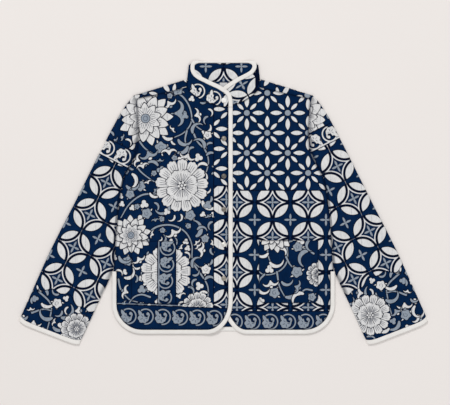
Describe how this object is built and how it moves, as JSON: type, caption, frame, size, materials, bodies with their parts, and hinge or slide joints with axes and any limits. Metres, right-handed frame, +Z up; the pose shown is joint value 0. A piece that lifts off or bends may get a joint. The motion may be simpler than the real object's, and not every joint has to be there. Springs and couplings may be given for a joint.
{
  "type": "quilted jacket",
  "caption": "Quilted cotton jacket laid flat and closed, with a stand collar, snap front, patch pockets, long sleeves and bound curved hems.",
  "frame": {"origin": "middle of the bounding box at its base, on the surface that the jacket lies on", "axes": "+X towards the wearer's left sleeve, +Y from the hem towards the collar, +Z up from the surface"},
  "size_m": [0.9824, 0.6848, 0.0155],
  "materials": {
    "printed_cotton": "quilted cotton printed in cream and grey-blue on navy, matt with a faint sheen",
    "binding_cotton": "off-white cotton strip, plain weave",
    "snap_metal": "dull grey snap cap",
    "snap_pearl": "glossy off-white snap cap",
    "label_tape": "plain pale woven tape"
  },
  "bodies": {
    "root": {"back": "printed_cotton", "front_right": "printed_cotton", "front_left": "printed_cotton", "sleeve_right": "printed_cotton", "sleeve_left": "printed_cotton", "collar": "printed_cotton", "pocket_right": "printed_cotton", "pocket_left": "printed_cotton", "binding_back": "binding_cotton", "binding_front_right": "binding_cotton", "binding_front_left": "binding_cotton", "binding_collar": "binding_cotton", "binding_cuff_right": "binding_cotton", "binding_cuff_left": "binding_cotton", "snap_collar": "snap_pearl", "snap_1": "snap_metal", "snap_2": "snap_metal", "snap_3": "snap_metal", "snap_4": "snap_metal", "snap_5": "snap_metal", "neck_label": "label_tape"}
  },
  "joints": []
}
